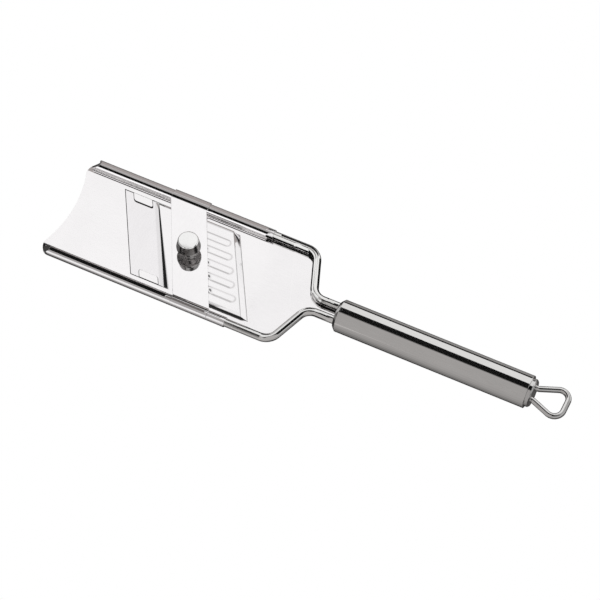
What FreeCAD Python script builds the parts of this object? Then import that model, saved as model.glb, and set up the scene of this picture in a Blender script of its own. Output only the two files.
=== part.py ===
"""Hand-held two-blade kitchen slicer, millimetres.

+X runs from the front edge to the handle, +Z is up, the deck is level.
The origin is under the middle of the slicer, level with the handle's
lowest line.  "Left" is -Y and "right" is +Y for a hand on the handle.
"""
import FreeCAD, Part
import Sketcher
import math
import os

Vector = FreeCAD.Vector
doc = FreeCAD.newDocument("Slicer")
sheet = doc.addObject("Spreadsheet::Sheet", "Dims")

DIMS = [
    # sheet deck and its rolled long edges
    ("deck_top", 7.85), ("sheet_thk", 0.5), ("rail_half", 32.5), ("rod_rad", 2.48),
    ("curl_in", 2.5), ("curl_out", 3.0), ("curl_cos", -0.939693), ("curl_sin", -0.342020),
    ("front_x", -158.8), ("front_half", 26.65), ("front_arc", 76.0), ("corner_rad", 9.0),
    ("curl_end", -39.3), ("neck_end", 15.8),
    # bent rods
    ("shoulder_x", -11.6), ("neck_x", -1.0), ("neck_half", 4.6), ("bend_rad", 8.5),
    ("bend_tan", 5.8634), ("diag_x", 0.355159), ("diag_y", 0.934806), ("rod_tail", 44.0),
    # blades, window and land, skewed across the deck
    ("skew_tan", 0.57735), ("win_half", 25.4), ("win_front", -118.3), ("win_back", -43.3),
    ("blade_gap", 0.15), ("blade_thk", 0.48), ("edge_x", -96.6), ("bevel_len", 1.8), ("edge_thk", 0.06),
    ("land_front", -94.6), ("land_fold", -92.4), ("land_back", -80.5), ("land_drop", 1.2), ("lip_drop", 0.5),
    ("tab_mid", -106.4), ("tab_len", 12.0), ("tab_in", 20.6), ("tab_out", 26.7),
    ("tongue_front", -77.5), ("tongue_back", -47.0), ("tongue_half", 25.1), ("tongue_rise", 2.3),
    ("rib_pitch", 8.18), ("rib_rad", 3.5), ("rib_rise", 0.6), ("rib_tip", -49.0), ("rib_shift", -0.35),
    # sliding cover, its clamp and knob
    ("cover_x", -78.45), ("cover_wide", 23.1), ("cover_tan", 0.5385), ("cover_top", 4.9), ("cover_thk", 0.6), ("cover_flat", 28.4), ("saddle_shift", 1.2),
    ("saddle_in", 3.15), ("saddle_out", 3.65), ("saddle_cos", 0.819152), ("saddle_sin", 0.573576),
    ("bridge_wide", 10.0), ("bridge_bot", 3.3), ("bridge_thk", 0.5), ("leg_in", 27.9),
    ("foot_bot", 0.35), ("foot_tip", 30.2), ("stud_rad", 2.0), ("stud_head", 3.0),
    ("knob_gap", 0.06), ("knob_high", 12.5), ("knob_bore", 2.05),
    # handle and hanging loop
    ("grip_rad", 9.75), ("grip_bore", 8.95), ("grip_x0", 18.0), ("grip_x1", 135.0),
    ("cap_face", 16.0), ("cap_in", 27.0), ("end_x", 137.8), ("end_rad", 8.35), ("end_in", 127.0),
    ("loop_wire", 1.75), ("loop_half", 4.0), ("loop_x0", 128.5), ("loop_x1", 138.8),
    ("loop_wide", 11.4), ("loop_x2", 157.05), ("loop_round", 5.5),
]
for row, (name, value) in enumerate(DIMS, 1):
    sheet.set("A%d" % row, name)
    sheet.set("B%d" % row, str(value))
    sheet.setAlias("B%d" % row, name)
doc.recompute()


class Dim:
    """A length that keeps its number and the sheet expression it comes from."""

    def __init__(self, number, text):
        self.n = float(number)
        self.t = text

    def _with(self, other, sign, swap=False):
        o = other if isinstance(other, Dim) else Dim(other, "(%.8g)" % other)
        a, b = (o, self) if swap else (self, o)
        n = {"+": a.n + b.n, "-": a.n - b.n, "*": a.n * b.n, "/": a.n / b.n if b.n else 0.0}[sign]
        return Dim(n, "(%s %s %s)" % (a.t, sign, b.t))

    def __add__(self, o): return self._with(o, "+")
    def __radd__(self, o): return self._with(o, "+", True)
    def __sub__(self, o): return self._with(o, "-")
    def __rsub__(self, o): return self._with(o, "-", True)
    def __mul__(self, o): return self._with(o, "*")
    def __rmul__(self, o): return self._with(o, "*", True)
    def __truediv__(self, o): return self._with(o, "/")
    def __neg__(self): return Dim(-self.n, "(0 - %s)" % self.t)


def root(q):
    return Dim(math.sqrt(q.n), "sqrt(%s)" % q.t)


D = {name: Dim(value, "Dims." + name) for name, value in DIMS}


class Names:
    def __getattr__(self, key):
        return D[key]


d = Names()


def number(q):
    return q.n if isinstance(q, Dim) else float(q)


def bind(obj, prop, q):
    if isinstance(q, Dim):
        obj.setExpression(prop, q.t)


def hold(sk, kind, args, q):
    """One dimensional constraint, tied to the sheet where it comes from it."""
    index = sk.addConstraint(Sketcher.Constraint(kind, *args, number(q)))
    if isinstance(q, Dim):
        sk.setExpression("Constraints[%d]" % index, q.t)


def place_point(sk, geo, pos, x, y):
    if not isinstance(x, Dim) and x == 0:
        sk.addConstraint(Sketcher.Constraint("PointOnObject", geo, pos, -2))
    else:
        hold(sk, "DistanceX", (-1, 1, geo, pos), x)
    if not isinstance(y, Dim) and y == 0:
        sk.addConstraint(Sketcher.Constraint("PointOnObject", geo, pos, -1))
    else:
        hold(sk, "DistanceY", (-1, 1, geo, pos), y)


def draw(sk, points, arcs=None, closed=True):
    """Outline through points; arcs[i] = (radius, side) bends the run that leaves point i.

    side is +1 where the arc's centre lies to the left of the run, -1 to the right.
    """
    arcs = arcs or {}
    count = len(points)
    runs = count if closed else count - 1
    first = []
    for i in range(runs):
        a = Vector(number(points[i][0]), number(points[i][1]), 0)
        b = Vector(number(points[(i + 1) % count][0]), number(points[(i + 1) % count][1]), 0)
        if i in arcs:
            radius, side = arcs[i][0], arcs[i][1]
            long_way = len(arcs[i]) > 2 and arcs[i][2]
            rad = number(radius)
            chord = b - a
            half = chord.Length / 2.0
            up = Vector(-chord.y, chord.x, 0).normalize() * side
            reach = math.sqrt(max(rad * rad - half * half, 0.0))
            centre = (a + b) * 0.5 + up * (-reach if long_way else reach)
            a0 = math.atan2(a.y - centre.y, a.x - centre.x)
            a1 = math.atan2(b.y - centre.y, b.x - centre.x)
            circle = Part.Circle(centre, Vector(0, 0, 1), rad)
            if side > 0:
                geo = sk.addGeometry(Part.ArcOfCircle(circle, a0, a1), False)
                first.append((geo, 1, 2))
            else:
                geo = sk.addGeometry(Part.ArcOfCircle(circle, a1, a0), False)
                first.append((geo, 2, 1))
        else:
            geo = sk.addGeometry(Part.LineSegment(a, b), False)
            first.append((geo, 1, 2))
    for i in range(runs):
        j = (i + 1) % runs
        if closed or i + 1 < runs:
            sk.addConstraint(Sketcher.Constraint("Coincident", first[i][0], first[i][2], first[j][0], first[j][1]))
    for i in range(count):
        if i < runs:
            place_point(sk, first[i][0], first[i][1], *points[i])
        else:
            place_point(sk, first[-1][0], first[-1][2], *points[i])
    for i in arcs:
        hold(sk, "Radius", (first[i][0],), arcs[i][0])
    return sk


# ---------------------------------------------------------------- helpers
FLAT = FreeCAD.Rotation()
# sketch X along +Y and sketch Y along +Z: a cross-section seen from the handle
ACROSS = FreeCAD.Rotation(Vector(0, 1, 0), Vector(0, 0, 1), Vector(1, 0, 0), "ZXY")


def plan(name, z, points, arcs=None):
    sk = doc.addObject("Sketcher::SketchObject", name)
    sk.Placement = FreeCAD.Placement(Vector(0, 0, number(z)), FLAT)
    bind(sk, "Placement.Base.z", z)
    return draw(sk, points, arcs)


def section(name, x, points, arcs=None):
    sk = doc.addObject("Sketcher::SketchObject", name)
    sk.Placement = FreeCAD.Placement(Vector(number(x), 0, 0), ACROSS)
    bind(sk, "Placement.Base.x", x)
    return draw(sk, points, arcs)


def extrude(name, sk, direction, length):
    ext = doc.addObject("Part::Extrusion", name)
    ext.Base = sk
    ext.DirMode = "Custom"
    ext.Dir = Vector(*direction)
    ext.LengthFwd = number(length)
    bind(ext, "LengthFwd", length)
    ext.Solid = True
    return ext


def slab(name, z0, z1, points, arcs=None):
    return extrude(name, plan(name + "_plan", z0, points, arcs), (0, 0, 1), z1 - z0)


def boolean(kind, name, *shapes):
    if kind == "MultiFuse":
        obj = doc.addObject("Part::MultiFuse", name)
        obj.Shapes = list(shapes)
        obj.Refine = True
        return obj
    obj = doc.addObject("Part::" + kind, name)
    obj.Base, obj.Tool = shapes
    obj.Refine = True
    return obj


def skewed(x0, x1, y0, y1, slope):
    """Four corners of a strip that leans back towards -Y."""
    return [(x0 - y0 * slope, y0), (x1 - y0 * slope, y0), (x1 - y1 * slope, y1), (x0 - y1 * slope, y1)]


def body(name):
    return doc.addObject("PartDesign::Body", name)


def plane(b, role):
    return [f for f in b.Origin.OriginFeatures if f.Role == role][0]


def turned(name, points, along, axis_z=None, arcs=None, at_x=None):
    """A turned piece.  along "X": points are (x, radius) about a level axis at height axis_z.
    along "Z": points are (radius, height) about an upright axis at x = at_x."""
    b = body(name)
    sk = b.newObject("Sketcher::SketchObject", name + "_profile")
    sk.AttachmentSupport = (plane(b, "XZ_Plane"), [""])
    sk.MapMode = "FlatFace"
    draw(sk, points, arcs)
    rev = b.newObject("PartDesign::Revolution", name + "_turned")
    rev.Profile = sk
    rev.ReferenceAxis = (sk, ["H_Axis" if along == "X" else "V_Axis"])
    rev.Angle = 360.0
    if along == "X":
        b.Placement = FreeCAD.Placement(Vector(0, 0, number(axis_z)), FLAT)
        bind(b, "Placement.Base.z", axis_z)
    else:
        b.Placement = FreeCAD.Placement(Vector(number(at_x), 0, 0), FLAT)
        bind(b, "Placement.Base.x", at_x)
    return b


def wire_piece(name, z, points, arcs, radius):
    """A round wire swept along a level path of straight runs and tangent arcs; it starts along +X."""
    b = body(name)
    path = b.newObject("Sketcher::SketchObject", name + "_path")
    path.AttachmentSupport = (plane(b, "XY_Plane"), [""])
    path.MapMode = "FlatFace"
    path.AttachmentOffset = FreeCAD.Placement(Vector(0, 0, number(z)), FLAT)
    bind(path, "AttachmentOffset.Base.z", z)
    draw(path, points, arcs, closed=False)
    ring = b.newObject("Sketcher::SketchObject", name + "_ring")
    ring.AttachmentSupport = (plane(b, "YZ_Plane"), [""])
    ring.MapMode = "FlatFace"
    ring.AttachmentOffset = FreeCAD.Placement(Vector(0, 0, number(points[0][0])), FLAT)
    bind(ring, "AttachmentOffset.Base.z", points[0][0])
    circle = ring.addGeometry(Part.Circle(Vector(number(points[0][1]), number(z), 0), Vector(0, 0, 1), number(radius)), False)
    place_point(ring, circle, 3, points[0][1], z)
    hold(ring, "Radius", (circle,), radius)
    doc.recompute()
    pipe = b.newObject("PartDesign::AdditivePipe", name + "_wire")
    pipe.Profile = ring
    pipe.Spine = (path, ["Edge%d" % (i + 1) for i in range(len(points) - 1)])
    return b


def bores(b, name, role, centres, radius, start, length, reverse):
    """Round pockets in a body, drilled from an offset origin plane."""
    sk = b.newObject("Sketcher::SketchObject", name)
    sk.AttachmentSupport = (plane(b, role), [""])
    sk.MapMode = "FlatFace"
    sk.AttachmentOffset = FreeCAD.Placement(Vector(0, 0, number(start)), FLAT)
    bind(sk, "AttachmentOffset.Base.z", start)
    for x, y in centres:
        c = sk.addGeometry(Part.Circle(Vector(number(x), number(y), 0), Vector(0, 0, 1), number(radius)), False)
        place_point(sk, c, 3, x, y)
        hold(sk, "Radius", (c,), radius)
    doc.recompute()
    before = b.Shape.Volume
    cut = b.newObject("PartDesign::Pocket", name + "_cut")
    cut.Profile = sk
    cut.Length = number(length)
    bind(cut, "Length", length)
    cut.Reversed = reverse
    doc.recompute()
    if not b.Shape.Volume < before - 1.0:
        raise RuntimeError(name + " removed nothing")
    return cut


deck_low = d.deck_top - d.sheet_thk
rail_z = d.deck_top + d.curl_in
parts = []

# ------------------------------------------------------------- deck sheet
flat = slab("deck_flat", deck_low, d.deck_top, [
    (d.front_x - 4, -d.rail_half), (d.curl_end, -d.rail_half), (d.shoulder_x - d.bend_tan, -d.rail_half),
    (d.shoulder_x + 1.2, -d.rail_half + 4.1), (d.neck_x - 1.7, -d.neck_half - 4.1), (d.neck_x + 2.8, -d.neck_half - 0.6), (d.neck_end, -d.neck_half - 0.6),
    (d.neck_end, d.neck_half + 0.6), (d.neck_x + 2.8, d.neck_half + 0.6), (d.neck_x - 1.7, d.neck_half + 4.1), (d.shoulder_x + 1.2, d.rail_half - 4.1),
    (d.shoulder_x - d.bend_tan, d.rail_half), (d.curl_end, d.rail_half), (d.front_x - 4, d.rail_half)])
curls = []
for tag, s in (("right", 1), ("left", -1)):
    yc = d.rail_half * s
    # from the flat sheet, out, up over the rod and back down to the free lip
    pts = [(yc, rail_z - d.curl_out), (yc + d.curl_out * d.curl_cos * s, rail_z + d.curl_out * d.curl_sin),
           (yc + d.curl_in * d.curl_cos * s, rail_z + d.curl_in * d.curl_sin), (yc, rail_z - d.curl_in)]
    sk = section("curl_%s_section" % tag, d.front_x - 4, pts, {0: (d.curl_out, s, True), 2: (d.curl_in, -s, True)})
    curls.append(extrude("curl_" + tag, sk, (1, 0, 0), d.curl_end - d.front_x + 4))


def trim(name):
    """Plan outline of the front: hollow front edge and rounded outer corners."""
    edge = d.front_half + d.corner_rad
    return slab(name, d.deck_top - 6, d.deck_top + 12, [
        (d.front_x, d.front_half), (d.front_x, -d.front_half), (d.front_x + d.corner_rad, -edge),
        (d.rod_tail + 6, -edge), (d.rod_tail + 6, edge), (d.front_x + d.corner_rad, edge)],
        {0: (d.front_arc, -1), 1: (d.corner_rad, 1), 5: (d.corner_rad, 1)})


def nose(name, piece):
    """Front of the rolled edge leans back above the deck."""
    sk = doc.addObject("Sketcher::SketchObject", name + "_side")
    sk.Placement = FreeCAD.Placement(Vector(0, -60, 0), FreeCAD.Rotation(Vector(1, 0, 0), 90))
    draw(sk, [(d.front_x - 20, d.deck_top), (d.front_x, d.deck_top), (d.front_x + 10.4, d.deck_top + 8), (d.front_x - 20, d.deck_top + 8)])
    wedge = extrude(name + "_wedge", sk, (0, 1, 0), d.rail_half * 0 + 120)
    return boolean("Cut", name, piece, wedge)


rolled = nose("deck_nosed", boolean("Common", "deck_rolled", boolean("MultiFuse", "deck_blank", flat, *curls), trim("deck_trim")))
window = slab("deck_window", deck_low - 1, d.deck_top + 1,
              skewed(d.win_front, d.win_back, -d.win_half, d.win_half, d.skew_tan))
opened = boolean("Cut", "deck_opened", rolled, window)
extras = []
# sunken land between the two slots, its lip bent down towards the straight blade
land_z = d.deck_top - d.land_drop
wall = d.win_half + d.sheet_thk
extras.append(slab("land_floor", land_z - d.sheet_thk, land_z, skewed(d.land_fold, d.land_back, -wall, wall, d.skew_tan)))
extras.append(slab("land_wall_right", land_z - d.sheet_thk, d.deck_top, skewed(d.land_fold, d.land_back, d.win_half, wall, d.skew_tan)))
extras.append(slab("land_wall_left", land_z - d.sheet_thk, d.deck_top, skewed(d.land_fold, d.land_back, -wall, -d.win_half, d.skew_tan)))
lip = doc.addObject("Part::Feature", "land_lip")
yl = d.win_half.n - 1.4


def skew_loft(x_a, x_b, half, low_a, high_a, low_b, high_b, slope):
    """Strip between two skewed lines whose heights differ."""
    def quad(x, low, high):
        a, b = x + half * slope, x - half * slope
        p = [Vector(a, -half, low), Vector(b, half, low), Vector(b, half, high), Vector(a, -half, high)]
        return Part.makePolygon(p + [p[0]])
    return Part.makeLoft([quad(x_a, low_a, high_a), quad(x_b, low_b, high_b)], True, True)


zt = land_z.n
lip.Shape = skew_loft(d.land_front.n, d.land_fold.n, yl, zt - d.sheet_thk.n - d.lip_drop.n, zt - d.lip_drop.n,
                      zt - d.sheet_thk.n, zt, d.skew_tan.n)
extras.append(lip)
# tabs folded over the blade's ends, and the ledges that carry it
for tag, s in (("right", 1), ("left", -1)):
    lo, hi = (d.tab_in, d.tab_out) if s > 0 else (-d.tab_out, -d.tab_in)
    extras.append(slab("blade_tab_" + tag, d.deck_top, d.deck_top + d.sheet_thk,
                       skewed(d.tab_mid - d.tab_len / 2, d.tab_mid + d.tab_len / 2, lo, hi, d.skew_tan)))
    lo, hi = (d.win_half - 2, wall) if s > 0 else (-wall, -d.win_half + 2)
    extras.append(slab("blade_ledge_" + tag, deck_low - d.sheet_thk, deck_low,
                       skewed(d.win_front + 1, d.edge_x - 3, lo, hi, d.skew_tan)))
deck = boolean("MultiFuse", "deck_plate", opened, *extras)
parts.append(deck)

# ------------------------------------------------------------ bent rods
for tag, s in (("left", -1), ("right", 1)):
    ya = d.rail_half * s
    yb = d.neck_half * s
    pts = [(d.front_x - 4, ya), (d.shoulder_x - d.bend_tan, ya),
           (d.shoulder_x + d.bend_tan * d.diag_x, ya - d.bend_tan * d.diag_y * s),
           (d.neck_x - d.bend_tan * d.diag_x, yb + d.bend_tan * d.diag_y * s),
           (d.neck_x + d.bend_tan, yb), (d.rod_tail, yb)]
    raw = wire_piece("rod_%s_bent" % tag, rail_z, pts, {1: (d.bend_rad, -s), 3: (d.bend_rad, s)}, d.rod_rad)
    parts.append(nose("frame_rod_" + tag, boolean("Common", "rod_%s_cut" % tag, raw, trim("rod_%s_trim" % tag))))

# -------------------------------------------------------- straight blade
blade_top = deck_low + d.blade_thk
blade_half = d.win_half - d.blade_gap
plate = slab("blade_plate", deck_low, blade_top,
             skewed(d.win_front + d.blade_gap, d.edge_x - d.bevel_len, -blade_half, blade_half, d.skew_tan))
bevel = doc.addObject("Part::Feature", "blade_bevel")
bevel.Shape = skew_loft(d.edge_x.n - d.bevel_len.n, d.edge_x.n, blade_half.n, deck_low.n, blade_top.n,
                        deck_low.n, deck_low.n + d.edge_thk.n, d.skew_tan.n)
parts.append(boolean("Fuse", "straight_blade", plate, bevel))

# --------------------------------------------------------- crinkle blade
rise_z = d.deck_top + d.tongue_rise
tongue = slab("tongue_plate", rise_z - d.sheet_thk, rise_z,
              skewed(d.tongue_front, d.tongue_back, -d.tongue_half, d.tongue_half, d.skew_tan))
ramp = doc.addObject("Part::Feature", "tongue_ramp")
ramp.Shape = skew_loft(d.tongue_back.n, d.win_back.n, d.tongue_half.n, rise_z.n - d.sheet_thk.n, rise_z.n,
                       deck_low.n, d.deck_top.n, d.skew_tan.n)
outer, inner = [], []
axis_z = rise_z + d.rib_rise - d.rib_rad
for k in range(5):
    y = d.rib_pitch * (2 - k) + d.rib_shift
    x_tip = d.rib_tip - y * d.skew_tan
    for store, rad, word in ((outer, d.rib_rad, "rib"), (inner, d.rib_rad - d.sheet_thk, "channel")):
        cyl = doc.addObject("Part::Cylinder", "%s_%d" % (word, k + 1))
        cyl.Radius = number(rad)
        cyl.Height = 40
        x0 = x_tip - d.rib_rad - 40
        cyl.Placement = FreeCAD.Placement(Vector(number(x0), number(y), number(axis_z)), FreeCAD.Rotation(Vector(0, 1, 0), 90))
        ball = doc.addObject("Part::Sphere", "%s_%d_end" % (word, k + 1))
        ball.Radius = number(rad)
        ball.Placement = FreeCAD.Placement(Vector(number(x_tip - d.rib_rad), number(y), number(axis_z)), FreeCAD.Rotation(Vector(0, 1, 0), 90))
        for o, xq in ((cyl, x0), (ball, x_tip - d.rib_rad)):
            bind(o, "Radius", rad)
            bind(o, "Placement.Base.x", xq)
            bind(o, "Placement.Base.y", y)
            bind(o, "Placement.Base.z", axis_z)
            store.append(o)
crown = slab("rib_crown", rise_z - d.sheet_thk, rise_z + 3,
             skewed(d.tongue_front, d.tongue_back, -d.tongue_half, d.tongue_half, d.skew_tan))
ribs = boolean("Common", "ribs_crowned", boolean("MultiFuse", "ribs_outer", *outer), crown)
ribbed = boolean("MultiFuse", "tongue_ribbed", tongue, ribs, ramp)
parts.append(boolean("Cut", "crinkle_blade", ribbed, boolean("MultiFuse", "ribs_inner", *inner)))

# --------------------------------------------------------- sliding cover
top = d.deck_top + d.cover_top
low = top - d.cover_thk
drop_o = top - rail_z
drop_i = low - rail_z
yo = d.rail_half - root(d.saddle_out * d.saddle_out - drop_o * drop_o)
yi = d.rail_half - root(d.saddle_in * d.saddle_in - drop_i * drop_i)
tip_o = (d.rail_half + d.saddle_out * d.saddle_cos, rail_z + d.saddle_out * d.saddle_sin)
tip_i = (d.rail_half + d.saddle_in * d.saddle_cos, rail_z + d.saddle_in * d.saddle_sin)
cover_pts = [(-yi, low), (yi, low), tip_i, tip_o, (yo, top), (-yo, top), (-tip_o[0], tip_o[1]), (-tip_i[0], tip_i[1])]
cover_sk = section("cover_section", d.cover_x - 50, cover_pts,
                   {1: (d.saddle_in, -1), 3: (d.saddle_out, 1), 5: (d.saddle_out, 1), 7: (d.saddle_in, -1)})
cover_bar = extrude("cover_bar", cover_sk, (1, 0, 0), d.rail_half * 0 + 100)
# skewed between the rails, cut square to them over the saddles
ca, cb, lean = d.cover_x - d.cover_wide / 2, d.cover_x + d.cover_wide / 2, d.cover_flat * d.cover_tan
cover_plan = slab("cover_plan", low - 2, top + 6, [
    (ca + lean + d.saddle_shift, -d.cover_flat - 9), (cb + lean + d.saddle_shift, -d.cover_flat - 9),
    (cb + lean + d.saddle_shift, -d.cover_flat - 2.5), (cb + lean, -d.cover_flat), (cb - lean, d.cover_flat),
    (cb - lean + d.saddle_shift, d.cover_flat + 2.5), (cb - lean + d.saddle_shift, d.cover_flat + 9),
    (ca - lean + d.saddle_shift, d.cover_flat + 9), (ca - lean + d.saddle_shift, d.cover_flat + 2.5),
    (ca - lean, d.cover_flat), (ca + lean, -d.cover_flat), (ca + lean + d.saddle_shift, -d.cover_flat - 2.5)])
cover_raw = boolean("Common", "cover_raw", cover_bar, cover_plan)
hole = doc.addObject("Part::Cylinder", "cover_hole")
hole.Radius = number(d.stud_rad + 0.2)
bind(hole, "Radius", d.stud_rad + 0.2)
hole.Height = 6
hole.Placement = FreeCAD.Placement(Vector(number(d.cover_x), 0, number(low) - 2), FLAT)
bind(hole, "Placement.Base.x", d.cover_x)
bind(hole, "Placement.Base.z", low - 2)
parts.append(boolean("Cut", "cover_slide", cover_raw, hole))

# clamp bridge under the cover: its feet reach under the lips of the rolled edges
bz = d.deck_top + d.bridge_bot
bt = bz + d.bridge_thk
fz = d.deck_top + d.foot_bot
ft = fz + d.bridge_thk
leg_out = d.leg_in + d.bridge_thk
bridge_pts = [(-d.foot_tip, fz), (-d.leg_in, fz), (-d.leg_in, bz), (d.leg_in, bz), (d.leg_in, fz), (d.foot_tip, fz),
              (d.foot_tip, ft), (leg_out, ft), (leg_out, bt), (-leg_out, bt), (-leg_out, ft), (-d.foot_tip, ft)]
bridge_sk = section("bridge_section", d.cover_x - 50, bridge_pts)
bridge_bar = extrude("bridge_bar", bridge_sk, (1, 0, 0), d.rail_half * 0 + 100)
bridge_plan = slab("bridge_plan", fz - 1, bt + 1,
                   skewed(d.cover_x - d.bridge_wide / 2, d.cover_x + d.bridge_wide / 2, -d.rail_half, d.rail_half, d.cover_tan))
bridge_raw = boolean("Common", "bridge_raw", bridge_bar, bridge_plan)
seat = []
for word, rad, z0, high in (("seat_bore", d.stud_rad + 0.01, bz - 1, 3), ("seat_head", d.stud_head + 0.01, bz - 1, 1.25)):
    c = doc.addObject("Part::Cylinder", word)
    c.Radius = number(rad)
    bind(c, "Radius", rad)
    c.Height = high
    c.Placement = FreeCAD.Placement(Vector(number(d.cover_x), 0, number(z0)), FLAT)
    bind(c, "Placement.Base.x", d.cover_x)
    bind(c, "Placement.Base.z", z0)
    seat.append(c)
parts.append(boolean("Cut", "clamp_bridge", bridge_raw, boolean("MultiFuse", "seat", *seat)))

# flush stud that rises from the bridge into the knob
stud_top = d.deck_top + d.cover_top + 7.7
parts.append(turned("clamp_stud", [(0, bz), (d.stud_head, bz), (d.stud_head, bz + 0.24), (d.stud_rad, bz + 0.24),
                                   (d.stud_rad, stud_top - 0.4), (d.stud_rad - 0.4, stud_top), (0, stud_top)], "Z", at_x=d.cover_x))

# turned knob: flat crown, flared skirt, narrow neck on a small foot
kz = top + d.knob_gap
kt = kz + d.knob_high
bore_top = kz + 9.0
parts.append(turned("cover_knob", [(d.knob_bore, kz), (4.9, kz), (4.9, kz + 0.9), (4.0, kz + 1.6), (4.0, kz + 3.2), (6.3, kz + 4.1),
                                   (7.1, kz + 4.9), (7.1, kz + 6.6), (6.75, kz + 8.2), (6.05, kz + 12.0), (5.55, kt), (0, kt),
                                   (0, bore_top), (d.knob_bore, bore_top)], "Z", at_x=d.cover_x))

# ------------------------------------------------------------- handle
hz = d.grip_rad + 0
parts.append(turned("handle_tube", [(d.grip_x0, d.grip_bore), (d.grip_x1, d.grip_bore), (d.grip_x1, d.grip_rad - 0.25),
                                    (d.grip_x1 - 0.25, d.grip_rad), (d.grip_x0, d.grip_rad)], "X", axis_z=hz))
rod_up = rail_z - hz
front = turned("handle_front_cap", [(d.cap_face, 0), (d.cap_in, 0), (d.cap_in, d.grip_bore - 0.02), (d.grip_x0, d.grip_bore - 0.02),
                                    (d.grip_x0, d.grip_rad), (d.cap_face + 0.2, d.grip_rad - 2.0), (d.cap_face, d.grip_rad - 2.3)], "X", axis_z=hz)
bores(front, "rod_bores", "YZ_Plane", [(d.neck_half, rod_up), (-d.neck_half, rod_up)], d.rod_rad + 0.01, d.cap_face - 1, d.cap_in - d.cap_face + 2, True)
parts.append(front)
end = turned("handle_end_cap", [(d.end_in, 0), (d.end_x, 0), (d.end_x, d.end_rad - 0.9), (d.end_x - 0.9, d.end_rad), (d.grip_x1 + 0.02, d.end_rad),
                                (d.grip_x1 + 0.02, d.grip_bore - 0.02), (d.end_in, d.grip_bore - 0.02)], "X", axis_z=hz)
bores(end, "loop_bores", "YZ_Plane", [(d.loop_half, 0), (-d.loop_half, 0)], d.loop_wire + 0.01, d.loop_x0 - 0.02, d.end_x - d.loop_x0 + 2, True)
parts.append(end)

# hanging loop: two straight legs, splayed sides and a rounded outer end
side = math.atan2(d.loop_wide.n - d.loop_half.n, d.loop_x2.n - d.loop_x1.n)


def rounded(points, radii):
    """Corner points of a path turned into straight runs and tangent arcs (plain numbers)."""
    out, arcs = [points[0]], {}
    for p, q, r, rad in zip(points, points[1:], points[2:], radii):
        a, b, c = Vector(*p, 0), Vector(*q, 0), Vector(*r, 0)
        u, v = (a - b).normalize(), (c - b).normalize()
        turn = math.pi - u.getAngle(v)
        t = rad * math.tan(turn / 2)
        s = b + u * t
        e = b + v * t
        left = (b - a).cross(c - b).z > 0
        arcs[len(out)] = (rad, 1 if left else -1)
        out += [(s.x, s.y), (e.x, e.y)]
    out.append(points[-1])
    return out, arcs


h0, h1, xa, xb, xc = d.loop_half.n, d.loop_wide.n, d.loop_x0.n, d.loop_x1.n, d.loop_x2.n
pts, arcs = rounded([(xa, h0), (xb, h0), (xc, h1), (xc, -h1), (xb, -h0), (xa, -h0)], [6.0, d.loop_round.n, d.loop_round.n, 6.0])
pts[0], pts[-1] = (d.loop_x0, d.loop_half), (d.loop_x0, -d.loop_half)
parts.append(wire_piece("hanging_loop", hz, pts, arcs, d.loop_wire))

# ------------------------------------------------------------ write out
doc.recompute()
bad = [o.Name for o in doc.Objects if any(w in ("Invalid", "Error") for w in o.State)]
for piece in parts:
    piece.Label = piece.Name
    shape = piece.Shape
    if shape.isNull() or not shape.isValid():
        bad.append(piece.Label + " has no valid shape")
    print("%-18s solids %d volume %9.1f  x %.2f..%.2f  y %.2f..%.2f  z %.2f..%.2f" % (
        piece.Label, len(shape.Solids), shape.Volume, shape.BoundBox.XMin, shape.BoundBox.XMax,
        shape.BoundBox.YMin, shape.BoundBox.YMax, shape.BoundBox.ZMin, shape.BoundBox.ZMax))
if bad:
    raise RuntimeError("not written: " + ", ".join(bad))
os.makedirs("parts", exist_ok=True)
for piece in parts:
    piece.Shape.exportStep("parts/%s.step" % piece.Label)
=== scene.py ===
"""Looks of the hand slicer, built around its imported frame.  Metres; the numbers below are millimetres."""
import bpy
import bmesh
import math
from mathutils import Matrix, Vector


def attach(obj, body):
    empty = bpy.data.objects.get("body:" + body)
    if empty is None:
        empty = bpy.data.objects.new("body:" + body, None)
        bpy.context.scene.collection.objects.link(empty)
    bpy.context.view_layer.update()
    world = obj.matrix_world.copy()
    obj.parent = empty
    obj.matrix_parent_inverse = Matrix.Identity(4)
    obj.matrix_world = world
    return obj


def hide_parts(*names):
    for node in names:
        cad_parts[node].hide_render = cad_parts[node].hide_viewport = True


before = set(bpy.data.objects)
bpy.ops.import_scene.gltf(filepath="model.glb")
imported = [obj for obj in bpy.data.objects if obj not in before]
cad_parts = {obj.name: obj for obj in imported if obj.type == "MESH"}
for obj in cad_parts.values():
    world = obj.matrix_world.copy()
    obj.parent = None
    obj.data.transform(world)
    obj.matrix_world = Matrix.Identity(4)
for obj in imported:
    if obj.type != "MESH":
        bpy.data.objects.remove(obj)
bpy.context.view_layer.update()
scene = bpy.context.scene
MM = 0.001

# ------------------------------------------------------------ dimensions
DECK_TOP, SHEET = 7.85, 0.5
DECK_LOW = DECK_TOP - SHEET
RAIL_Y, RAIL_Z, ROD_R, CURL_IN, CURL_OUT = 32.5, 10.35, 2.48, 2.5, 3.0
FRONT_X, FRONT_HALF, FRONT_ARC, CORNER = -158.8, 26.65, 76.0, 9.0
CURL_END, SKEW = -39.3, 0.57735
WIN_HALF, WIN_FRONT, WIN_BACK = 25.4, -118.3, -43.3
GRIP_Z, GRIP_R = 9.75, 9.75


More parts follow.
